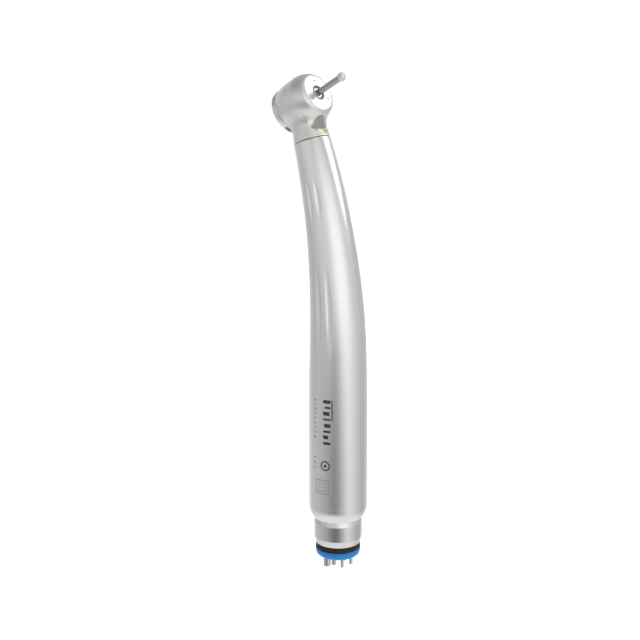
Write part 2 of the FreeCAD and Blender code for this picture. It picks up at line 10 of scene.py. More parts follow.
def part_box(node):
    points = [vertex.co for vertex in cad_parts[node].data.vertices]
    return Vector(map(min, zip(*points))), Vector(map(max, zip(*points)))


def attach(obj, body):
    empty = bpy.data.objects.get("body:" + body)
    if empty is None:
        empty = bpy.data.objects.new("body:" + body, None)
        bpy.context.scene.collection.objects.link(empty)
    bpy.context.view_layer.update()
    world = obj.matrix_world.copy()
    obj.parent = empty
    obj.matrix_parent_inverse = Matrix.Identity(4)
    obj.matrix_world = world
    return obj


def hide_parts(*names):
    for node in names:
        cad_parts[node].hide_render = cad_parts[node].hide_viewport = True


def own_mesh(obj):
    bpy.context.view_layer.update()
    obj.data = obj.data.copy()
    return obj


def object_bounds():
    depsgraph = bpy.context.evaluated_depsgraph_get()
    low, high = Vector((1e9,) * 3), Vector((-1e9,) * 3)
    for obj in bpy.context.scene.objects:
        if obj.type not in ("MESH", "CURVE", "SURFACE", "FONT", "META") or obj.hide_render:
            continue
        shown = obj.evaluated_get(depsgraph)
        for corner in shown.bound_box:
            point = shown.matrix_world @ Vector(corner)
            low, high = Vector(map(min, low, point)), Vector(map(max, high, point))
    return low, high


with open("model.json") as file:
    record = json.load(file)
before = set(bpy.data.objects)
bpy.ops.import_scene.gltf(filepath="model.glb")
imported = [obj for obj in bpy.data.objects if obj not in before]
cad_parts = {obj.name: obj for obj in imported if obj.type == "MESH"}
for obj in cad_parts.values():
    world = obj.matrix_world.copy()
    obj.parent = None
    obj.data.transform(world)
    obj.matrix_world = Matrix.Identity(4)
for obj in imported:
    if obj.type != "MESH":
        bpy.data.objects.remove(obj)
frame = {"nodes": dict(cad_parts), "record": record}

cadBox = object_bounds()
toMetres = Matrix.Scale(0.001, 4)      # sizes below are in millimetres, meshes in metres
fullTurn = 2 * math.pi


class Wire:      # one socket of a node tree, so that node maths reads as plain expressions
    def __init__(self, tree, socket):
        self.tree = tree
        self.socket = socket

    def node(self, kind, settings=None, values=None, out=0):
        made = self.tree.nodes.new(kind)
        for name, setting in (settings or {}).items():
            if name == "stops":
                ramp = made.color_ramp
                while len(ramp.elements) < len(setting):
                    ramp.elements.new(0.5)
                for element, (place, color) in zip(ramp.elements, setting):
                    element.position = place
                    element.color = color if isinstance(color, tuple) else (color, color, color, 1)
            elif name == "blend":
                made.color_ramp.interpolation = setting
            else:
                setattr(made, name, setting)
        for name, value in (values or {}).items():
            socket = made.inputs[name]
            if isinstance(value, Wire):
                self.tree.links.new(value.socket, socket)
            else:
                socket.default_value = value
        return Wire(self.tree, made.outputs[out])

    def maths(self, operation, *others):
        return self.node("ShaderNodeMath", {"operation": operation}, dict(enumerate((self, *others))))

    def behind(self, operation, first):      # the same with a plain number as the first value
        return self.node("ShaderNodeMath", {"operation": operation}, {0: first, 1: self})

    def __add__(self, other):
        return self.maths("ADD", other)

    def __sub__(self, other):
        return self.maths("SUBTRACT", other)

    def __rsub__(self, other):
        return self.behind("SUBTRACT", other)

    def __mul__(self, other):
        return self.maths("MULTIPLY", other)

    def __truediv__(self, other):
        return self.maths("DIVIDE", other)

    def __rtruediv__(self, other):
        return self.behind("DIVIDE", other)

    def __pow__(self, other):
        return self.maths("POWER", other)

    def __lt__(self, other):
        return self.maths("LESS_THAN", other)

    def __gt__(self, other):
        return self.maths("GREATER_THAN", other)

    __radd__ = __add__
    __rmul__ = __mul__

    def between(self, low, high):      # 1 inside the two limits
        return (self > low) * (self < high)

    def least(self, other):
        return self.maths("MINIMUM", other)

    def most(self, other):
        return self.maths("MAXIMUM", other)

    def soft(self, low, high):      # 0 below low, 1 above high, eased between
        return self.node("ShaderNodeMapRange", {"interpolation_type": "SMOOTHSTEP"},
                         {"Value": self, "From Min": low, "From Max": high})

    def split(self):
        parts = self.node("ShaderNodeSeparateXYZ", None, {0: self}).socket.node
        return [Wire(self.tree, output) for output in parts.outputs]

    def scaled(self, amount):
        return self.node("ShaderNodeVectorMath", {"operation": "SCALE"}, {0: self, "Scale": amount})

    def noise(self, scale, detail=2.0, rough=0.5):      # from 0 to 1, about 0.5 on average
        return self.node("ShaderNodeTexNoise", None,
                         {"Vector": self, "Scale": scale, "Detail": detail, "Roughness": rough})

    def tint(self, low, high):      # a colour between two, by this value
        return self.node("ShaderNodeMix", {"data_type": "RGBA"},
                         {0: self, 6: (*low, 1), 7: (*high, 1)}, 2)

    def bump(self, depth, strength=1.0):      # this height, depth in millimetres, as a normal
        return self.node("ShaderNodeBump", None,
                         {"Height": self, "Distance": depth * 0.001, "Strength": strength})


def recipe(name, inputs):      # a geometry tree whose named inputs have these starting values
    tree = bpy.data.node_groups.new(name, "GeometryNodeTree")
    tree.interface.new_socket("Geometry", in_out="OUTPUT", socket_type="NodeSocketGeometry")
    tree.interface.new_socket("Geometry", in_out="INPUT", socket_type="NodeSocketGeometry")
    for label, value in inputs.items():
        kind = "NodeSocketInt" if isinstance(value, int) else "NodeSocketFloat"
        tree.interface.new_socket(label, in_out="INPUT", socket_type=kind).default_value = value
    source = tree.nodes.new("NodeGroupInput")
    return {label: Wire(tree, source.outputs[label]) for label in ("Geometry", *inputs)}


# ends a tree, runs it, on a base mesh if there is one, and keeps the plain mesh
def grown(name, shape, material, values, base=None):
    tree = shape.tree
    solid = shape.node("GeometryNodeRealizeInstances", None, {0: shape})
    done = solid.node("GeometryNodeSetMaterial", None, {"Geometry": solid, "Material": material})
    tree.links.new(done.socket, tree.nodes.new("NodeGroupOutput").inputs[0])
    piece = bpy.data.objects.new(name, base or bpy.data.meshes.new(name))
    bpy.context.scene.collection.objects.link(piece)
    modifier = piece.modifiers.new("Build", "NODES")
    modifier.node_group = tree
    for item in tree.interface.items_tree:
        if item.in_out == "INPUT" and item.name in values:
            modifier[item.identifier] = values[item.name]
    bpy.context.view_layer.update()
    ready = piece.evaluated_get(bpy.context.evaluated_depsgraph_get())
    mesh = bpy.data.meshes.new_from_object(ready)
    piece.modifiers.remove(modifier)
    piece.data = mesh
    return piece


def finished(name, mesh, material, sharp=38):      # a piece with smooth faces and crisp edges
    piece = bpy.data.objects.new(name, mesh)
    bpy.context.scene.collection.objects.link(piece)
    mesh.materials.clear()
    mesh.materials.append(material)
    mesh.shade_smooth()
    mesh.set_sharp_from_angle(angle=math.radians(sharp))
    return piece


def softened(outline):      # rounds each (radius, height, rounding) corner of a closed outline
    points = []
    for index, (radius, height, rounding) in enumerate(outline):
        here = Vector((radius, height))
        back = Vector(outline[index - 1][:2]) - here
        ahead = Vector(outline[(index + 1) % len(outline)][:2]) - here
        if not rounding:
            points.append(here)
            continue
        half = back.angle(ahead) / 2
        trim = min(rounding / math.tan(half), back.length * 0.48, ahead.length * 0.48)
        middle = here + (back.normalized() + ahead.normalized()).normalized() * trim / math.cos(half)
        spoke = here + back.normalized() * trim - middle
        turn = math.pi - 2 * half
        if back.x * ahead.y - back.y * ahead.x > 0:
            turn = -turn
        for step in range(6):
            points.append(middle + Matrix.Rotation(turn * step / 5, 2) @ spoke)
    return points


def turnedMesh(name, outline, where=Matrix(), sides=160):      # a closed outline turned about Z
    section = softened(outline)
    form = bmesh.new()
    rings = []
    for side in range(sides):
        angle = fullTurn * side / sides
        ring = [form.verts.new((p.x * math.cos(angle), p.x * math.sin(angle), p.y)) for p in section]
        rings.append(ring)
    for side in range(sides):
        near, far = rings[side], rings[(side + 1) % sides]
        for index in range(len(section)):
            after = (index + 1) % len(section)
            if section[index].x > 1e-6 or section[after].x > 1e-6:
                form.faces.new((near[index], far[index], far[after], near[after]))
    bmesh.ops.remove_doubles(form, verts=form.verts, dist=1e-5)
    bmesh.ops.recalc_face_normals(form, faces=form.faces)
    mesh = bpy.data.meshes.new(name)
    form.to_mesh(mesh)
    form.free()
    mesh.transform(toMetres @ where)
    return mesh


def lathe(name, outline, material, where=Matrix(), sides=160):
    return finished(name, turnedMesh(name, outline, where, sides), material)


def smoothMin(a, b, width):      # the nearer of two distances, blended over this width
    share = np.clip(0.5 + 0.5 * (b - a) / width, 0, 1)
    return b + (a - b) * share - width * share * (1 - share)


def smoothMax(a, b, width):
    return -smoothMin(-a, -b, width)


def slope(field, points, aside=0.01):      # unit direction in which a distance field rises
    steps = [field(points + side) - field(points - side) for side in np.eye(3) * aside]
    rise = np.stack(steps, -1)
    return rise / np.maximum(np.linalg.norm(rise, axis=1, keepdims=True), 1e-9)


# skins a distance field with a grid of this step, and keeps its edges
def carved(name, field, low, high, step, material):
    axes = [np.arange(a, b + step, step) for a, b in zip(low, high)]
    size = [len(axis) for axis in axes]
    grid = np.stack(np.meshgrid(*axes, indexing="ij"), -1)
    value = np.concatenate([field(plane.reshape(-1, 3)) for plane in grid]).reshape(size)
    points, cells, flips = [], [], []
    for axis in range(3):
        near = [slice(0, -1) if a == axis else slice(1, -1) for a in range(3)]
        far = [slice(1, None) if a == axis else slice(1, -1) for a in range(3)]
        at = np.argwhere((value[tuple(near)] < 0) != (value[tuple(far)] < 0))
        at += [0 if a == axis else 1 for a in range(3)]
        ahead = at + np.eye(3, dtype=int)[axis]
        start, end = value[tuple(at.T)], value[tuple(ahead.T)]
        share = (start / (start - end))[:, None]
        nearShare, farShare = np.zeros_like(share), np.ones_like(share)
        begin = grid[tuple(at.T)]
        run = np.eye(3)[axis] * step
        for _ in range(5):      # closes in on the crossing
            middle = field(begin + run * share)[:, None]
            same = (middle < 0) == (start < 0)[:, None]
            nearShare, farShare = np.where(same, share, nearShare), np.where(same, farShare, share)
            share = (nearShare + farShare) / 2
        points.append(begin + run * share)
        one, two = [np.eye(3, dtype=int)[a] for a in range(3) if a != axis]
        ring = np.stack([at - one - two, at - two, at, at - one], 1)
        cells.append(ring @ np.array([size[1] * size[2], size[2], 1]))
        flips.append((start < 0) == (axis == 1))
    points, cells, flips = np.concatenate(points), np.concatenate(cells), np.concatenate(flips)
    _, corner = np.unique(cells, return_inverse=True)
    corner = corner.reshape(-1, 4)
    count = corner.max() + 1
    normal = slope(field, points)
    gather = lambda part: np.bincount(corner.ravel(), np.repeat(part, 4), count)
    share = gather(np.ones(len(points)))
    centre = np.stack([gather(points[:, a]) for a in range(3)], 1) / share[:, None]
    away = np.einsum("ijk,ik->ij", points[:, None] - centre[corner], normal).ravel()
    pull = np.stack([np.bincount(corner.ravel(), away * np.repeat(normal[:, a], 4), count)
                     for a in range(3)], 1)
    spread = np.stack([[gather(normal[:, a] * normal[:, b]) for a in range(3)] for b in range(3)])
    spread = spread.transpose(2, 0, 1) + np.eye(3) * 0.05
    shift = np.linalg.solve(spread, pull[..., None])[..., 0]
    far = np.linalg.norm(shift, axis=1) > step
    shift[far] = 0
    verts = centre + shift
    faces = np.where(flips[:, None], corner[:, ::-1], corner)
    mesh = bpy.data.meshes.new(name)
    mesh.from_pydata(verts * 0.001, [], faces.tolist())
    mesh.materials.append(material)
    mesh.shade_smooth()
    smooth = slope(field, verts, 0.02)
    flat = np.zeros(len(mesh.polygons) * 3)
    mesh.polygons.foreach_get("normal", flat)
    flat = np.repeat(flat.reshape(-1, 3), 4, axis=0)
    ends = smooth[faces.ravel()]
    close = np.einsum("ij,ij->i", ends, flat) > math.cos(math.radians(32))
    mesh.normals_split_custom_set(np.where(close[:, None], ends, flat))
    piece = bpy.data.objects.new(name, mesh)
    bpy.context.scene.collection.objects.link(piece)
    return piece


def settle(piece, body, slot, *nodes):      # rides on a body and stands for its nodes
    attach(piece, body)
    if nodes:
        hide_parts(*nodes)


# centre line of the handle, in millimetres from its rear end
line = {"straight": 55.9, "bend": 168.0, "bendAngle": math.radians(20), "seam": 110.8, "seamGap": 0.14,
        "headAt": 121.1, "headTilt": 24.8, "faceAhead": 6.3}


def alongLine(s):      # local Z runs along the centre line, local X to the bur side
    lean = min(max(s - line["straight"], 0) / line["bend"], line["bendAngle"])
    past = max(s - line["straight"], 0) - lean * line["bend"]
    x = -line["bend"] * (1 - math.cos(lean)) - past * math.sin(lean)
    z = min(s, line["straight"]) + line["bend"] * math.sin(lean) + past * math.cos(lean)
    return Matrix.Translation((x, 0, z)) @ Matrix.Rotation(-lean, 4, "Y")


def headFrame():      # local Z is the bur axis with zero at the face, local X points to the neck
    turn = Matrix.Rotation(math.radians(90 - line["headTilt"]), 4, "Y")
    return Matrix.Translation(alongLine(line["headAt"]).translation) @ turn @ Matrix.Translation(
        (0, 0, line["faceAhead"]))


def paint(name):      # a new material: its shader and the surface point in millimetres
    material = bpy.data.materials.new(name)
    material.use_nodes = True
    tree = material.node_tree
    tree.nodes.clear()
    shader = tree.nodes.new("ShaderNodeBsdfPrincipled")
    sink = tree.nodes.new("ShaderNodeOutputMaterial")
    tree.links.new(shader.outputs[0], sink.inputs[0])
    place = tree.nodes.new("ShaderNodeTexCoord")
    return material, shader, Wire(tree, place.outputs["Object"]).scaled(1000)


def apply(shader, **values):      # Base_Color=... sets a number or links a wire
    for label, value in values.items():
        socket = shader.inputs[label.replace("_", " ")]
        if isinstance(value, Wire):
            shader.id_data.links.new(value.socket, socket)
        else:
            socket.default_value = (*value, 1) if isinstance(value, tuple) else value


def satinChrome(name, rough=0.27, paintedShade=None):      # the optional mask paints shade into the colour, darker and warmer there
    material, shader, point = paint(name)
    cloud = point.noise(0.16, 3)
    grain = point.noise(9.0, 3, 0.65)
    fine = point.noise(38.0, 2)
    smudge = point.noise(0.55, 4, 0.6).soft(0.52, 0.72)
    chrome = (cloud * 0.7 + grain * 0.3).tint((0.79, 0.785, 0.78), (0.87, 0.865, 0.86))
    if paintedShade:
        # painted shade: the masked zone gets a darker, warmer base colour
        chrome = chrome.node("ShaderNodeMix", {"data_type": "RGBA"},
                             {0: paintedShade(point), 6: chrome, 7: (0.50, 0.50, 0.45, 1)}, 2)
    apply(shader, Metallic=1.0, Base_Color=chrome,
          Roughness=rough - 0.03 + grain * 0.04 + smudge * 0.035,
          Normal=(fine + grain).bump(0.0006))
    return material


marks = {      # plain laser marks: left and right across the handle, low and high along it, in mm
    "bars": ((-10.7, -8.6, 44.6, 43.7), (-10.2, -8.6, 42.9, 42.3), (-10.7, -8.9, 41.5, 40.5),
             (-10.7, -8.6, 39.7, 39.2), (-10.4, -8.6, 38.3, 37.3), (-10.7, -8.6, 36.5, 35.9),
             (-10.7, -9.2, 35.2, 34.2), (-10.7, -8.6, 33.4, 32.7), (-8.35, -8.05, 44.6, 39.2)),
    "fine": ((-13.9, -13.1, 44.4, 43.9), (-13.9, -13.3, 43.2, 42.8), (-13.7, -13.1, 42.1, 41.5),
             (-13.9, -13.1, 40.8, 40.4), (-13.9, -13.4, 39.7, 39.0), (-13.9, -13.1, 38.2, 37.8),
             (-13.6, -13.1, 37.1, 36.5), (-13.9, -13.1, 35.8, 35.4), (-13.9, -13.1, 34.6, 34.0),
             (-13.9, -13.2, 28.9, 28.5), (-13.9, -13.2, 27.6, 27.0), (-13.9, -13.2, 26.2, 25.8)),
    "ring": (-10.1, 26.9, 1.35, 1.0, 0.42), "frame": (-13.1, -9.1, 19.1, 23.0, 0.22),
    "dots": (0.95, 0.24),
}


def laserMarks(point):      # two strengths of mark on the handle, 1 where there is one
    x, y, z = point.split()
    across = y.maths("ARCTAN2", x) * 7.8

    def box(left, right, high, low):
        return across.between(left, right) * z.between(low, high)

    strong = sum((box(*edges) for edges in marks["bars"]), 0.0)
    u, v, outer, inner, dot = marks["ring"]
    away = ((across - u) ** 2 + (z - v) ** 2).maths("SQRT")
    strong = strong + away.between(inner, outer) + (away < dot)
    pale = sum((box(*edges) for edges in marks["fine"]), 0.0)
    left, right, low, high, thick = marks["frame"]
    inner = box(left + thick, right - thick, high - thick, low + thick)
    pale = pale + box(left, right, high, low) - inner
    pitch, dot = marks["dots"]
    middle = (left + right) / 2, (low + high) / 2
    dotX = ((across - middle[0]) / pitch - 0.5).maths("FRACT") - 0.5
    dotZ = ((z - middle[1]) / pitch - 0.5).maths("FRACT") - 0.5
    inside = box(left + 0.5, right - 0.5, high - 0.5, low + 0.5)
    pale = pale + ((dotX ** 2 + dotZ ** 2) < dot ** 2) * inside
    return strong.least(1.0), pale.least(1.0)


def markedChrome(name):      # the handle's own satin chrome, with a brushed grain and laser marks
    material, shader, point = paint(name)
    cloud = point.noise(0.16, 3)
    grain = point.noise(9.0, 3, 0.65)
    fine = point.noise(38.0, 2)
    smudge = point.noise(0.55, 4, 0.6).soft(0.52, 0.72)
    strong, pale = laserMarks(point)
    burnt = strong * 0.97 + pale * 0.62
    chrome = (cloud * 0.8 + grain * 0.2).tint((0.80, 0.80, 0.795), (0.86, 0.86, 0.855))
    apply(shader, Metallic=1.0 - burnt * 0.5,
          Base_Color=chrome.node("ShaderNodeMix", {"data_type": "RGBA"},
                                 {0: burnt, 6: chrome, 7: (0.02, 0.02, 0.022, 1)}, 2),
          Roughness=0.23 + grain * 0.03 + smudge * 0.03 + burnt * 0.25,
          Normal=(fine + grain - burnt * 3).bump(0.0003))
    return material


def polishedSteel(name, tint=(0.80, 0.79, 0.775), rough=0.08, ridges=9.0):
    material, shader, point = paint(name)
    x, y, z = point.split()
    rings = (z * ridges * fullTurn).maths("SINE")
    grain = point.noise(6.0, 3, 0.6)
    apply(shader, Metallic=1.0,
          Base_Color=grain.tint(tuple(0.93 * part for part in tint), tint),
          Roughness=rough + grain * 0.08 + rings * 0.015,
          Normal=(rings * 0.5 + grain).bump(0.0008))
    return material


def rubber(name, tint=(0.008, 0.008, 0.009)):
    material, shader, point = paint(name)
    dust = point.noise(2.2, 5, 0.65)
    pores = point.noise(14.0, 2)
    apply(shader, Base_Color=dust.tint(tint, tuple(1.7 * part for part in tint)),
          Roughness=0.42 + dust * 0.2, Normal=(pores + dust).bump(0.006), Specular_IOR_Level=0.3)
    return material


def bluePlastic(name):
    material, shader, point = paint(name)
    cloud = point.noise(0.8, 3)
    skin = point.noise(5.0, 2)
    apply(shader, Base_Color=cloud.tint((0.0, 0.14, 0.42), (0.0, 0.20, 0.52)),
          Roughness=0.22 + cloud * 0.1, Normal=skin.bump(0.003), IOR=1.5)
    return material


def lensGlass(name):
    material, shader, point = paint(name)
    cloud = point.noise(1.5, 3)
    # painted glow: the lens gives off a faint yellow light of its own
    apply(shader, Base_Color=cloud.tint((0.86, 0.80, 0.42), (0.95, 0.92, 0.60)),
          Roughness=0.08 + cloud * 0.05, IOR=1.49, Emission_Strength=0.12,
          Emission_Color=cloud.tint((0.8, 0.75, 0.4), (1.0, 0.95, 0.6)),
          Coat_Weight=0.6, Normal=cloud.bump(0.002))
    return material


def diamondGrit(name):
    material, shader, point = paint(name)
    sparkle = point.noise(6.0, 2)
    apply(shader, Metallic=0.75, Base_Color=sparkle.tint((0.45, 0.45, 0.45), (0.93, 0.93, 0.92)),
          Roughness=0.18 + sparkle * 0.3, Normal=point.noise(22.0, 2).bump(0.004))
    return material


def plainPart(name, low, high, metallic, rough, grainScale=4.0, depth=0.003):
    material, shader, point = paint(name)
    grain = point.noise(grainScale, 4, 0.6)
    wear = point.noise(grainScale * 0.3, 3).soft(0.45, 0.7)
    apply(shader, Metallic=metallic, Base_Color=(grain * 0.6 + wear * 0.4).tint(low, high),
          Roughness=rough + grain * 0.12, Normal=grain.bump(depth))
    return material


finishes = {
    "satin_chrome": satinChrome("satinChrome"),
    "button_steel": satinChrome("buttonSteel", 0.22),
    "polished_steel": polishedSteel("polishedSteel"),
    "bearing_steel": plainPart("bearingSteel", (0.55, 0.56, 0.58), (0.72, 0.72, 0.73), 1.0, 0.12, 7.0, 0.001),
    "cage_polymer": plainPart("cagePolymer", (0.20, 0.12, 0.05), (0.32, 0.20, 0.09), 0.0, 0.38),
    "spring_steel": plainPart("springSteel", (0.48, 0.48, 0.50), (0.66, 0.66, 0.67), 1.0, 0.2, 9.0, 0.001),
    "bur_steel": polishedSteel("burSteel", (0.46, 0.46, 0.47), 0.14, 14.0),
    "impeller_aluminium": plainPart("impellerAluminium", (0.70, 0.71, 0.72), (0.84, 0.84, 0.84), 1.0, 0.3),
    "rubber": rubber("rubber"),
    "blue_plastic": bluePlastic("bluePlastic"),
    "lens_glass": lensGlass("lensGlass"),
    "led_phosphor": plainPart("ledPhosphor", (0.80, 0.66, 0.12), (0.92, 0.82, 0.30), 0.0, 0.5, 10.0),
    "copper": plainPart("copperWire", (0.62, 0.26, 0.12), (0.82, 0.40, 0.20), 1.0, 0.25, 8.0),
    "wire_red": plainPart("wireRed", (0.35, 0.02, 0.02), (0.55, 0.05, 0.04), 0.0, 0.4),
    "magnet": plainPart("magnet", (0.35, 0.35, 0.36), (0.5, 0.5, 0.5), 1.0, 0.35),
    "tube_steel": plainPart("tubeSteel", (0.6, 0.6, 0.6), (0.75, 0.75, 0.74), 1.0, 0.22),
    "board": plainPart("board", (0.01, 0.10, 0.04), (0.03, 0.18, 0.08), 0.0, 0.4),
    "chip_black": plainPart("chipBlack", (0.02, 0.02, 0.02), (0.05, 0.05, 0.05), 0.0, 0.45),
    "brass": plainPart("brass", (0.60, 0.42, 0.16), (0.78, 0.58, 0.26), 1.0, 0.25),
}

dullChuck = satinChrome("dullChuck", 0.45)
slotOfNode = {row["node"]: row["material_slot"] for row in frame["record"]["subparts"]}
print("slots", len(finishes), "nodes with a slot", len(slotOfNode))
for nodeName, nodeObject in frame["nodes"].items():
    slotName = slotOfNode.get(nodeName, "polished_steel")
    nodeObject.data.materials.clear()
    seenInFace = nodeName in ("collet_chuck", "rotor_spindle", "front_dust_cover")
    nodeObject.data.materials.append(dullChuck if seenInFace else finishes[slotName])
print("finishes on", len(frame["nodes"]), "nodes")


# the shell is turned about the bent line in bands, from the lip forward and back along the bore
handle = {
    "around": 224, "rows": 210, "lip rows": 22,
    "full radius": 7.8, "taper": 0.053, "taper from": 54.0, "taper ease": 8.0, "wall": 0.9,
    "lip radius": 6.75, "lip from": 11.0, "lip to": 15.0, "thread radius": 6.2, "thread top": 20.0,
    "spigot radius": 3.9, "spigot length": 6.0, "edge": 0.16, "flute depth": 0.34,
}
flutes = {"angles": (-90.0, -66.0), "sets": ((68.0, 12.2, 0.85), (95.3, 5.9, 0.7))}


def handleShell(material):
    counts = {"around": handle["around"], "rows": handle["rows"], "lip rows": handle["lip rows"]}
    sizes = {label: float(value) for label, value in handle.items() if label not in counts}
    size = recipe("handleShell", {**counts, **sizes})
    bend, straight, seam = line["bend"], line["straight"], line["seam"]
    full = handle["full radius"]
    lipEnds = Vector((6.75, 11.0)), Vector((full - 0.25, 12.7)), Vector((full, 15.0))
    lipCentre, lipRadius = arcThrough(*lipEnds)

    def outerRadius(s):      # straight, then an eased change into an even taper
        eased = ((s - size["taper from"]) / size["taper ease"]).maths("EXPONENT") + 1
        return size["full radius"] - size["taper"] * size["taper ease"] * eased.maths("LOGARITHM", math.e)

    def grooves(s, angle):      # depth taken off by the grip flutes
        total = 0.0
        for at, half, wide in flutes["sets"]:
            for side in flutes["angles"] + tuple(-a for a in flutes["angles"]):
                aside = (angle - math.radians(side % 360)).maths("ABSOLUTE")
                across = aside.least(fullTurn - aside) * outerRadius(s)
                away = ((s - at) / half) ** 2 + (across / wide) ** 2
                total = ((1 - away).most(0.0) ** 1.15) * size["flute depth"] + total
        return total

    def sheet(rows, rule):      # a band of the wall; rule gives length and radius from 0 to 1
        start = size["around"]
        grid = start.node("GeometryNodeMeshGrid", None,
                          {"Size X": 1.0, "Size Y": 1.0, "Vertices X": start + 1, "Vertices Y": rows})
        x, y, _ = start.node("GeometryNodeInputPosition").split()
        angle = (x + 0.5) * fullTurn
        s, radius = rule(y + 0.5, angle)
        lean = (s - straight).most(0.0) / bend
        out = radius * angle.maths("COSINE")
        place = start.node("ShaderNodeCombineXYZ", None, {
            "X": (lean.maths("COSINE") - 1) * bend + out * lean.maths("COSINE"),
            "Y": radius * angle.maths("SINE"),
            "Z": s.least(straight) + lean.maths("SINE") * bend + out * lean.maths("SINE")})
        return start.node("GeometryNodeSetPosition", None,
                          {"Geometry": grid, "Position": place.scaled(0.001)})

    def lip(v, angle):      # v eased so that rows gather at the steep start
        s = size["lip from"] + (v ** 2) * (size["lip to"] - size["lip from"])
        drop = (lipRadius ** 2 - (s - lipCentre.y) ** 2).most(0.0).maths("SQRT")
        return s, drop + lipCentre.x

    def body(v, angle):
        s = size["lip to"] + v * (seam - size["edge"] - size["lip to"])
        return s, outerRadius(s) - grooves(s, angle)

    def rim(v, angle):      # rounded edge at the seam with the head
        s = seam - size["edge"] + (v * math.pi / 2).maths("SINE") * size["edge"]
        return s, outerRadius(s) - size["edge"] * (1 - (v * math.pi / 2).maths("COSINE"))

    def flat(s, fromRadius, toRadius):
        return lambda v, angle: (v * 0 + s, fromRadius + v * (toRadius - fromRadius))

    def bore(fromS, toS, radius):
        return lambda v, angle: (fromS + v * (toS - fromS), radius(fromS + v * (toS - fromS)))

    wallRadius = lambda s: outerRadius(s) - size["wall"]
    shoulder = seam - size["spigot length"]
    end = size["edge"] * 0 + seam      # a plain number as a wire of this tree
    bands = [
        sheet(2, flat(size["lip from"], size["thread radius"], size["lip radius"])),
        sheet(size["lip rows"], lip),
        sheet(size["rows"], body),
        sheet(5, rim),
        sheet(2, flat(end, outerRadius(end) - size["edge"], size["spigot radius"])),
        sheet(2, lambda v, angle: (seam - v * size["spigot length"], v * 0 + size["spigot radius"])),
        sheet(2, flat(shoulder, size["spigot radius"], wallRadius(shoulder))),
        sheet(60, bore(shoulder, size["thread top"], wallRadius)),
        sheet(2, flat(size["thread top"], wallRadius(size["thread top"]), size["thread radius"])),
        sheet(2, lambda v, angle: (size["thread top"] - v * (size["thread top"] - size["lip from"]),
                                   v * 0 + size["thread radius"])),
    ]
    joined = bands[0].node("GeometryNodeJoinGeometry")
    for band in bands:
        band.tree.links.new(band.socket, joined.socket.node.inputs[0])
    closed = joined.node("GeometryNodeMergeByDistance", None, {"Geometry": joined, "Distance": 0.000004})
    piece = grown("handleShellPiece", closed, material, {**counts, **sizes})
    piece.data.shade_smooth()
    piece.data.set_sharp_from_angle(angle=math.radians(30))
    return piece


def arcThrough(a, b, c):      # centre and radius of the circle through three points
    ab, ac = b - a, c - a
    cross = 2 * (ab.x * ac.y - ab.y * ac.x)
    middle = Vector((ac.y * ab.length_squared - ab.y * ac.length_squared,
                     ab.x * ac.length_squared - ac.x * ab.length_squared)) / cross
    return a + middle, middle.length


shell = handleShell(markedChrome("markedChrome"))
settle(shell, "handpiece", "satin_chrome", "handle_shell")
print("handle shell", len(shell.data.polygons), "faces")


# barrel and bores are (radius, height) in the head's frame, neck is (length, radius, offset)
head = {
    "back": -10.0, "barrel": ((5.98, -10.0), (6.32, -8.2), (6.44, -5.6)),
    "front": ((6.44, -4.5), (5.95, -1.62), (4.95, 0.0)), "middle": -5.05,
    "rim": 0.8, "blend": 2.1, "crease": 0.85, "cap room": 6.3, "neck top": 119.2, "spigot": (104.8, 111.3),
    "hollows": ((0.0, 3.2, 0.2), (0.5, 2.9, 2.2)), "lens seat": (0.02, 2.4),
    "neck": ((110.94, 4.77, 0.0), (113.2, 4.53, 0.14), (115.2, 4.30, 0.33), (118.5, 3.98, 0.58)),
    "bores": ((4.75, -7.0), (4.3, -3.4), (3.65, -0.88), (2.0, 5.0)), "spray": (3.28, 0.24, 0.7),
    "window": ((3.1, 2.6), (4.6, 0.7), (4.45, 4.75)), "arch": (3.1, 2.75), "lens": 1.15, "step": 0.14,
}


def windowShadeMask(point):      # 1 on the walls of the light window, under the neck's own surface, where shade is painted into the chrome
    seat = alongLine(line["seam"])
    across, _, along = [seat.col[axis].to_3d() for axis in range(3)]
    x, y, z = point.split()

    def measured(axis):
        return x * axis.x + z * axis.z - seat.translation.dot(axis)

    out, rise = measured(across), measured(along)
    depth = (out ** 2 + y ** 2).maths("SQRT")
    skin = (rise - 3.4).most(0.0) * 0.4 + 4.15
    return ((depth - skin) < 0.0) * (out > 2.9) * rise.between(0.4, 5.6)


# the head's chrome, with painted shade on the light window's walls
headChrome = satinChrome("headChrome", 0.38, windowShadeMask)


def neckPlace(p):      # offset to the bur side, offset sideways and length along the centre line
    out, up = p[:, 0] + line["bend"], p[:, 2] - line["straight"]
    lean = np.arctan2(up, out)
    limit = line["bendAngle"]
    onArc = lean < limit
    x = np.where(onArc, np.hypot(out, up), out * math.cos(limit) + up * math.sin(limit)) - line["bend"]
    along = up * math.cos(limit) - out * math.sin(limit)
    s = line["straight"] + np.where(onArc, lean * line["bend"], limit * line["bend"] + along)
    return x, p[:, 1], s


def inFrame(p, placement):      # points in the axes of a placement
    turn = np.array(placement.to_3x3())
    return (p - np.array(placement.translation)) @ turn


def roundSide(points):      # radius at a height, on the arc through three (radius, height) points
    centre, radius = arcThrough(*[Vector(point) for point in points])
    return lambda z: centre.x + np.sqrt(np.maximum(radius ** 2 - (z - centre.y) ** 2, 0))


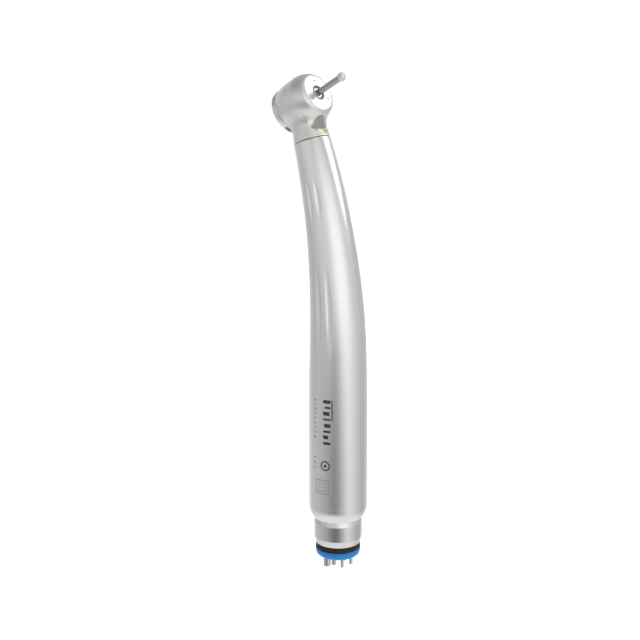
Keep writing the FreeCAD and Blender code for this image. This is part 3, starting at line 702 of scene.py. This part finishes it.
def headField(p):
    x, y, s = neckPlace(p)
    local = inFrame(p, headFrame())
    r, w = np.hypot(local[:, 0], local[:, 1]), local[:, 2]
    back, front = roundSide(head["barrel"]), roundSide(head["front"])
    side = np.where(w < head["middle"], back(np.minimum(w, head["barrel"][2][1])),
                    front(np.maximum(w, head["front"][0][1])))
    barrel = smoothMax(smoothMax(r - side, w, head["rim"]), head["back"] - w, 0.1)
    stations = np.array(head["neck"])
    length = np.clip(s, 110, 119) - 113
    radius, offset = [np.polyval(np.polyfit(stations[:, 0] - 113, stations[:, column], 3), length)
                      for column in (1, 2)]
    neck = smoothMax(np.hypot(x - offset, y) - radius, stations[0, 0] - s, 0.15)
    tight = 1 - head["crease"] * np.clip((w + 3.5) / 2.5, 0, 1)      # a tighter crease under the face
    body = smoothMin(barrel, np.maximum(neck, s - head["neck top"]), head["blend"] * tight)
    body = np.maximum(body, -np.maximum(r - head["cap room"], w - head["back"]))
    low, high = head["spigot"]
    spigot = np.maximum(np.hypot(x, y) - handle["spigot radius"] + 0.02, np.maximum(s - high, low - s))
    body = np.minimum(body, spigot)
    for bore, top in head["bores"]:
        body = np.maximum(body, -np.maximum(r - bore, w - top))
    circle, hole, depth = head["spray"]
    for angle in (math.pi, math.pi / 3, -math.pi / 3):
        aside = np.hypot(local[:, 0] - circle * math.cos(angle),
                         local[:, 1] - circle * math.sin(angle))
        body = np.maximum(body, -np.maximum(aside - hole, -depth - w))
    seat = inFrame(p, alongLine(line["seam"]))
    deep, low, high = [np.array(point) for point in head["window"]]
    across = seat[:, [0, 2]] - deep
    floor = (low - deep) / np.linalg.norm(low - deep)
    wall = (high - deep) / np.linalg.norm(high - deep)
    aboveFloor = across @ np.array([-floor[1], floor[0]])
    belowWall = across @ np.array([wall[1], -wall[0]])
    wide, tall = head["arch"]
    arch = 1 - np.hypot(seat[:, 1] / wide, np.maximum(seat[:, 2] - deep[1], 0) / tall)
    body = np.maximum(body, np.minimum(np.minimum(aboveFloor, belowWall), arch * tall))
    eye = inFrame(p, ledFrame())
    gap, sunk = head["lens seat"]
    lensHole = np.maximum(np.hypot(eye[:, 0], eye[:, 1]) - head["lens"] - gap, -sunk - eye[:, 2])
    body = np.maximum(body, -lensHole)
    for aside, hollow, top in head["hollows"]:
        body = np.maximum(body, -np.maximum(np.hypot(seat[:, 0] + aside, seat[:, 1]) - hollow,
                                            seat[:, 2] - top))
    return body


def ledFrame():      # middle of the window floor, local Z out of the floor
    deep, low, _ = head["window"]
    lean = math.atan2(deep[1] - low[1], low[0] - deep[0])
    middle = Matrix.Translation(((deep[0] + low[0]) / 2, 0, (deep[1] + low[1]) / 2))
    return alongLine(line["seam"]) @ middle @ Matrix.Rotation(lean, 4, "Y")


def roomFor(node, margin=0.4):      # a node's box in millimetres, with a margin
    low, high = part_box(node)
    return [v * 1000 - margin for v in low], [v * 1000 + margin for v in high]


housing = carved("headHousingPiece", headField, *roomFor("head_housing"), head["step"], headChrome)
settle(housing, "handpiece", "satin_chrome", "head_housing")
print("head housing", len(housing.data.polygons), "faces")

cap = {
    "side": ((5.98, -10.0), (6.12, -10.75), (6.0, -11.35)), "back": -11.8, "edge": 0.5, "thread": 4.75,
    "thread top": -7.0, "bores": ((3.65, -9.6, 5.0), (4.36, -10.95, -9.6), (3.86, -20.0, -10.95)),
    "notches": 4, "first notch": -28.0, "notch floor": 5.35, "notch half": 1.5, "notch end": -11.35,
    "step": 0.1,
}


def capField(p):
    local = inFrame(p, headFrame())
    r, w = np.hypot(local[:, 0], local[:, 1]), local[:, 2]
    rim = smoothMax(r - roundSide(cap["side"])(w), cap["back"] - w, cap["edge"])
    body = np.maximum(rim, w - head["back"] + 0.04)
    body = np.minimum(body, np.maximum(r - cap["thread"], np.maximum(w - cap["thread top"], -10.1 - w)))
    for bore, low, high in cap["bores"]:
        body = np.maximum(body, -np.maximum(r - bore, np.maximum(low - w, w - high)))
    for index in range(cap["notches"]):
        angle = math.radians(cap["first notch"]) + fullTurn * index / cap["notches"]
        out = local[:, 0] * math.cos(angle) + local[:, 1] * math.sin(angle)
        aside = np.abs(local[:, 1] * math.cos(angle) - local[:, 0] * math.sin(angle))
        slot = np.maximum(np.maximum(cap["notch floor"] - out, aside - cap["notch half"]),
                          cap["notch end"] - w)
        body = np.maximum(body, -slot)
    return body


backCap = carved("backCapPiece", capField, *roomFor("back_cap"), cap["step"], headChrome)
settle(backCap, "handpiece", "satin_chrome", "back_cap")
print("back cap", len(backCap.data.polygons), "faces")


# outlines are (radius, height, rounding) from the axis out
button = {"outline": ((0, -12.05, 0), (1.3, -12.01, 0), (2.4, -11.91, 0), (3.2, -11.77, 0),
                      (3.8, -11.6, 0.15), (3.8, -10.93, 0.03), (4.3, -10.93, 0.05), (4.3, -10.75, 0.05),
                      (3.5, -10.75, 0.03), (3.5, -10.9, 0), (0, -10.9, 0))}
bur = {
    "shank": ((0, -9.75, 0), (0.8, -9.75, 0.15), (0.8, 7.25, 0.12), (0.62, 7.75, 0.1), (0.66, 8.1, 0),
              (0, 8.1, 0)),
    "tip": ((0, 7.8, 0), (0.66, 7.8, 0), (1.02, 8.0, 0.1), (1.05, 8.8, 0.2), (0.93, 9.08, 0.15),
            (0.65, 9.2, 0.1), (0, 9.2, 0)),
    "grit": 0.062, "grains": 58.0, "seed": 7,
}
lens = {"outline": ((0, -1.3, 0), (1.15, -1.3, 0.02), (1.15, -0.12, 0.05), (1.03, 0, 0.06), (0, 0, 0))}


def gritTip():      # the tip with diamond grains bonded over its skin
    sizes = {"grain": bur["grit"] * 0.001, "grains": bur["grains"] * 1e6, "seed": bur["seed"]}
    size = recipe("diamondTip", sizes)
    tip = size["Geometry"]
    spots = tip.node("GeometryNodeDistributePointsOnFaces", None,
                     {"Mesh": tip, "Density": size["grains"], "Seed": size["seed"]})
    grain = tip.node("GeometryNodeMeshIcoSphere", None, {"Radius": size["grain"], "Subdivisions": 1})
    turn = tip.node("FunctionNodeRandomValue", {"data_type": "FLOAT_VECTOR"},
                    {"Max": (fullTurn, fullTurn, fullTurn), "Seed": size["seed"]})
    share = tip.node("FunctionNodeRandomValue", {"data_type": "FLOAT"},
                     {2: 0.55, 3: 1.15, "Seed": size["seed"]}, 1)
    grains = tip.node("GeometryNodeInstanceOnPoints", None,
                      {"Points": spots, "Instance": grain, "Rotation": turn, "Scale": share})
    joined = tip.node("GeometryNodeJoinGeometry")
    for part in (tip, grains):
        part.tree.links.new(part.socket, joined.socket.node.inputs[0])
    skin = turnedMesh("burTip", bur["tip"], headFrame(), 64)
    return grown("burTipPiece", joined, diamondGrit("diamondGrit"), sizes, skin)


settle(lathe("pushButtonPiece", button["outline"], finishes["button_steel"], headFrame(), 128),
       "button", "button_steel", "push_button")
shank = lathe("burShankPiece", bur["shank"], finishes["bur_steel"], headFrame(), 72)
settle(shank, "bur", "bur_steel", "bur")
settle(gritTip(), "bur", "bur_steel")
settle(lathe("lensPiece", lens["outline"], finishes["lens_glass"], ledFrame(), 72),
       "handpiece", "lens_glass", "led_lens")
print("button, bur and lens")


springs = (
    {"piece": "buttonSpringPiece", "node": "button_spring", "joint": "button_press", "where": headFrame(),
     "low": -10.66, "high": -9.84, "radius": 3.95, "wire": 0.06, "turns": 2.5, "travel": 0.7},
    {"piece": "valveSpringPiece", "node": "check_valve_spring", "joint": "valve_lift",
     "where": Matrix.Translation((2.49, -1.13, 0)), "low": 13.34, "high": 16.76, "radius": 0.6, "wire": 0.09,
     "turns": 6.0, "travel": 0.6},
)


def coiled(spring):      # a helix of round wire, set in its node's place
    sizes = {label: spring[label] for label in ("radius", "wire", "turns")}
    sizes["height"] = spring["high"] - spring["low"]
    size = recipe(spring["piece"], sizes)
    path = size["turns"].node("GeometryNodeCurveSpiral", None, {
        "Resolution": 40, "Rotations": size["turns"], "Start Radius": size["radius"],
        "End Radius": size["radius"], "Height": size["height"]})
    ring = path.node("GeometryNodeCurvePrimitiveCircle", None, {"Resolution": 12, "Radius": size["wire"]})
    wire = path.node("GeometryNodeCurveToMesh", None,
                     {"Curve": path, "Profile Curve": ring, "Fill Caps": True})
    piece = grown(spring["piece"], wire, finishes["spring_steel"], sizes)
    piece.data.shade_smooth()
    piece.data.transform(toMetres @ spring["where"] @ Matrix.Translation((0, 0, spring["low"])))
    settle(piece, "handpiece", "spring_steel", spring["node"])
    length = sizes["height"] + 2 * spring["wire"]
    anchor = toMetres @ spring["where"] @ Vector((0, 0, spring["high"] + spring["wire"]))
    1 - spring["travel"] / length
    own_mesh(piece)


for spring in springs:
    coiled(spring)
print("springs")


rear = {
    "collar": ((5.2, 3.65, 0), (6.05, 3.65, 0.15), (6.5, 5.5, 1.2), (6.5, 9.5, 1.2), (6.2, 11.0, 0.2),
               (6.2, 19.0, 0.1), (5.2, 19.0, 0)),
    "seal": ((4.4, 2.15, 0.05), (6.0, 2.15, 0.3), (6.0, 3.65, 0.3), (4.4, 3.65, 0.05)),
    "blue": ((4.4, 0, 0.1), (5.3, 0, 0.25), (5.86, 0.5, 0.5), (6.07, 1.35, 0.8), (6.07, 2.15, 0.15),
             (4.4, 2.15, 0.05)),
    "tip": -3.2, "inside": 0.1,      # pipes are (x, y, outer radius, bore), thicker by this much inside
    "pipes": (("exhaustPiece", "exhaust_pipe", -1.39, -2.86, 1.0, 0.78),
              ("driveAirPiece", "drive_air_pipe", -0.35, -1.26, 0.65, 0.45),
              ("waterPiece", "water_pipe", 2.49, -1.13, 0.45, 0.28),
              ("chipAirPiece", "chip_air_pipe", 2.77, 2.15, 0.5, 0.32)),
    "pin": (0.28, 2.53, 0.4, 6.0),
}

for pieceName, label, slotName, node in (
        ("collarPiece", "collar", "polished_steel", "rear_collar"),
        ("sealingRingPiece", "seal", "rubber", "sealing_ring"),
        ("blueRingPiece", "blue", "blue_plastic", "blue_ring")):
    settle(lathe(pieceName, rear[label], finishes[slotName]), "handpiece", slotName, node)
for pieceName, node, x, y, outer, inner in rear["pipes"]:
    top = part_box(node)[1][2] * 1000
    wide = outer + rear["inside"]
    outline = ((inner, rear["tip"], 0.06), (outer, rear["tip"], 0.08), (outer, 0, 0), (wide, 0, 0),
               (wide, top, 0), (inner, top, 0))
    pipe = lathe(pieceName, outline, finishes["polished_steel"], Matrix.Translation((x, y, 0)), 56)
    settle(pipe, "handpiece", "polished_steel", node)
x, y, radius, top = rear["pin"]
held = radius + rear["inside"]
pinOutline = ((0, rear["tip"], 0), (radius * 0.6, rear["tip"], 0.08), (radius, rear["tip"] + 0.3, 0.1),
              (radius, 0, 0), (held, 0, 0), (held, top, 0), (0, top, 0))
pin = lathe("locatingPinPiece", pinOutline, finishes["polished_steel"], Matrix.Translation((x, y, 0)), 48)
settle(pin, "handpiece", "polished_steel", "locating_pin")
print("rear end")


# glow is (degrees from the camera's side, brightness) for high, level and low directions
stage = {
    "floor drop": 0.030, "floor half": 1.2,
    "camera at": (0.16871, -0.19194, 0.11218),
    "right": (0.7391, 0.6735, -0.0026), "up": (-0.1223, 0.138, 0.9829), "back": (0.6624, -0.7262, 0.1843),
    "lens": 56.24,
    "high glow": ((-180, 0.76), (-150, 0.78), (-114, 0.55), (-91, 0.57), (-73, 0.64), (-56, 0.70), (-41, 0.73),
                  (-20, 0.75), (-4, 0.93), (7, 1.14), (22, 1.18), (44, 1.13), (59, 0.87), (76, 0.69), (96, 0.64),
                  (119, 0.54), (134, 0.54), (160, 0.76), (180, 0.76)),
    "middle glow": ((-180, 0.66), (-150, 0.62), (-118, 0.49), (-98, 0.48), (-81, 0.57), (-66, 0.52), (-52, 0.54),
                    (-39, 0.60), (-15, 0.46), (-3, 0.55), (8, 0.79), (20, 1.00), (32, 1.08), (45, 0.98),
                    (58, 0.87), (73, 0.73), (89, 0.64), (108, 0.58), (133, 0.57), (160, 0.62), (180, 0.66)),
    "low glow": ((-180, 1.15), (-165, 1.10), (-145, 0.80), (-122, 0.60), (-101, 0.57), (-84, 0.53), (-69, 0.47),
                 (-55, 0.43), (-42, 0.33), (-30, 0.25), (-18, 0.20), (-6, 0.21), (4, 0.30), (16, 0.47), (28, 0.63),
                 (40, 0.80), (53, 0.80), (67, 0.71), (82, 0.62), (99, 0.50), (120, 0.49), (150, 0.75), (180, 1.15)),
    "window towards": (0.36, 0.66, 0.66), "window spread": (0.87, 0.955), "window glow": 2.0,
    "overhead": (0.30, 0.62), "overhead dim": 0.42, "ground": (0.46, 0.80), "ground glow": 0.9,
}


def setCamera():
    data = bpy.data.cameras.new("camera")
    data.lens = stage["lens"]
    data.sensor_width = 36
    data.clip_start = 0.005
    camera = bpy.data.objects.new("camera", data)
    bpy.context.scene.collection.objects.link(camera)
    turn = Matrix([stage["right"], stage["up"], stage["back"]]).transposed().to_4x4()
    camera.matrix_world = Matrix.Translation(stage["camera at"]) @ turn.to_quaternion().to_matrix().to_4x4()
    bpy.context.scene.camera = camera


def setFloor():
    half = stage["floor half"]
    level = cadBox[0][2] - stage["floor drop"]
    mesh = bpy.data.meshes.new("floor")
    corners = [(-half, -half, level), (half, -half, level), (half, half, level), (-half, half, level)]
    mesh.from_pydata(corners, [], [(0, 1, 2, 3)])
    floor = bpy.data.objects.new("floor", mesh)
    bpy.context.scene.collection.objects.link(floor)
    material, shader, point = paint("paleFloor")
    cloud = point.noise(0.02, 2)
    apply(shader, Base_Color=cloud.tint((0.90, 0.90, 0.90), (0.92, 0.92, 0.92)), Roughness=0.9,
          Emission_Color=(1.0, 1.0, 1.0), Emission_Strength=0.72)
    mesh.materials.append(material)
    floor.visible_glossy = False


def setWorld():      # an even white to look at, and a soft studio gradient to light and reflect
    world = bpy.data.worlds.new("studio")
    bpy.context.scene.world = world
    world.use_nodes = True
    tree = world.node_tree
    tree.nodes.clear()
    place = Wire(tree, tree.nodes.new("ShaderNodeTexCoord").outputs["Generated"])
    x, y, z = place.split()
    cameraSide = math.atan2(stage["back"][1], stage["back"][0])
    turn = math.cos(cameraSide), math.sin(cameraSide)
    offset = (y * turn[0] - x * turn[1]).maths("ARCTAN2", x * turn[0] + y * turn[1])
    place = offset / fullTurn + 0.5

    def ramp(label):
        stops = [((angle + 180) / 360, value) for angle, value in stage[label]]
        return place.node("ShaderNodeValToRGB", {"stops": stops, "blend": "EASE"}, {0: place})

    def blended(share, low, high):
        return share.node("ShaderNodeMix", {"data_type": "RGBA"}, {0: share, 6: low, 7: high}, 2)

    lower = blended(z.soft(-0.36, -0.12), ramp("low glow"), ramp("middle glow"))
    glow = blended(z.soft(-0.16, 0.04), lower, ramp("high glow"))
    ground = stage["ground glow"]
    glow = blended((z * -1).soft(*stage["ground"]), glow, (ground, ground, ground, 1))
    across, ahead, rise = stage["window towards"]
    facing = x * across + y * ahead + z * rise
    wide = facing.soft(*stage["window spread"]) * stage["window glow"]
    strength = 1 - z.soft(*stage["overhead"]) * stage["overhead dim"] + wide
    lit = glow.node("ShaderNodeBackground", None, {"Color": glow, "Strength": strength})
    plain = glow.node("ShaderNodeBackground", None, {"Color": (1, 1, 1, 1), "Strength": 1.0})
    seen = glow.node("ShaderNodeLightPath")
    mixed = glow.node("ShaderNodeMixShader", None, {0: seen, 1: lit, 2: plain})
    sink = tree.nodes.new("ShaderNodeOutputWorld")
    tree.links.new(mixed.socket, sink.inputs[0])


def addSoftbox(name, at, size, power):
    data = bpy.data.lights.new(name, "AREA")
    data.shape = "DISK"
    data.size = size
    data.energy = power
    lamp = bpy.data.objects.new(name, data)
    bpy.context.scene.collection.objects.link(lamp)
    target = headFrame().translation * 0.001
    lamp.location = at
    lamp.rotation_euler = (target - Vector(at)).to_track_quat("-Z", "Y").to_euler()


setCamera()
setFloor()
setWorld()
addSoftbox("faceLight", (0.507, 0.653, 0.469), 0.3, 0.35)
bpy.context.scene.view_settings.view_transform = "Standard"
print("stage set")
